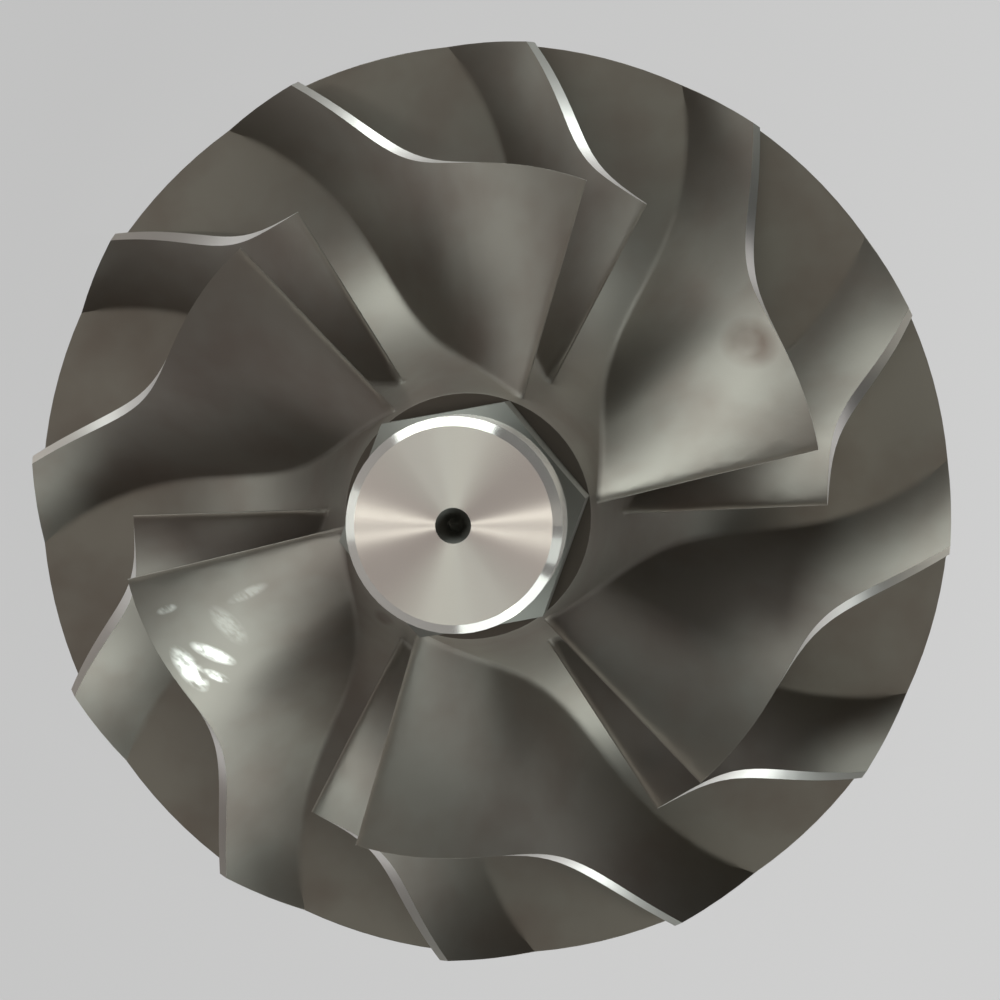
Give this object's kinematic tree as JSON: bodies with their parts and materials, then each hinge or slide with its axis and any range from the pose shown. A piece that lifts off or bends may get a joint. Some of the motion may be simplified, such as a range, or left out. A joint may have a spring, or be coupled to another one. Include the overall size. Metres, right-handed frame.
{
  "type": "turbocharger compressor wheel",
  "caption": "Machined radial compressor wheel with swept full and splitter blades, a hexagonal nose and a rear boss with a blind threaded shaft bore.",
  "frame": {"origin": "centre of the boss end face on the wheel's axis, where the wheel rests on its shaft's shoulder", "axes": "+Z along the wheel's axis from the rear boss to the hexagonal nose, +X at a splitter-side clock position that the blades repeat every 60 degrees"},
  "size_m": [0.06, 0.06, 0.0327],
  "materials": {
    "milled_aluminium": "five-axis milled forged aluminium, satin in the passages, bright turned blade edges and nose"
  },
  "bodies": {
    "root": {"compressor_wheel": "milled_aluminium"}
  },
  "joints": []
}
